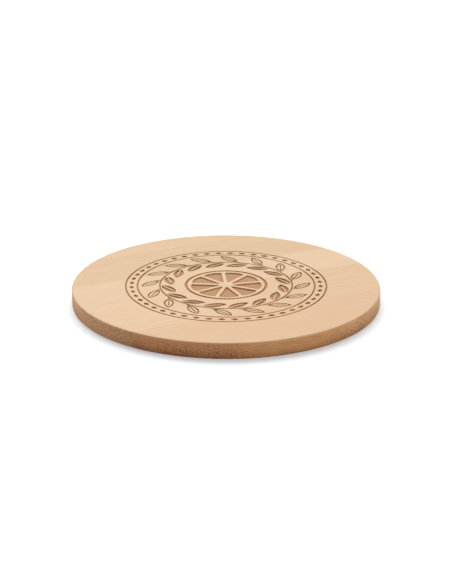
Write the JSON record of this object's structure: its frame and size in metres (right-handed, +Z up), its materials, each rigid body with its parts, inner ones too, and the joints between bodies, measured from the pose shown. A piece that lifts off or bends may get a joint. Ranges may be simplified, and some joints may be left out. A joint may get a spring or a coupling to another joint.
{
  "type": "drink coaster",
  "caption": "Round flat bamboo coaster of strips glued edge to edge, with eased rims and an engraved citrus wheel in a leaf wreath on top.",
  "frame": {"origin": "middle of the underside, on the table", "axes": "+X along the bamboo's grain, +Y across the strips towards the back edge, +Z up out of the engraved face"},
  "size_m": [0.095, 0.095, 0.005],
  "materials": {
    "pale_bamboo": "pale natural bamboo, sanded and left satin, with browned laser engraving",
    "warm_bamboo": "slightly warmer natural bamboo, sanded and left satin, with browned laser engraving",
    "glue": "thin films of set amber wood glue, flush with the bamboo"
  },
  "bodies": {
    "root": {"front_strip": "warm_bamboo", "middle_front_strip": "pale_bamboo", "middle_back_strip": "pale_bamboo", "back_strip": "warm_bamboo", "back_edge_strip": "warm_bamboo", "front_glue_line": "glue", "middle_glue_line": "glue", "back_glue_line": "glue", "back_edge_glue_line": "glue"}
  },
  "joints": []
}
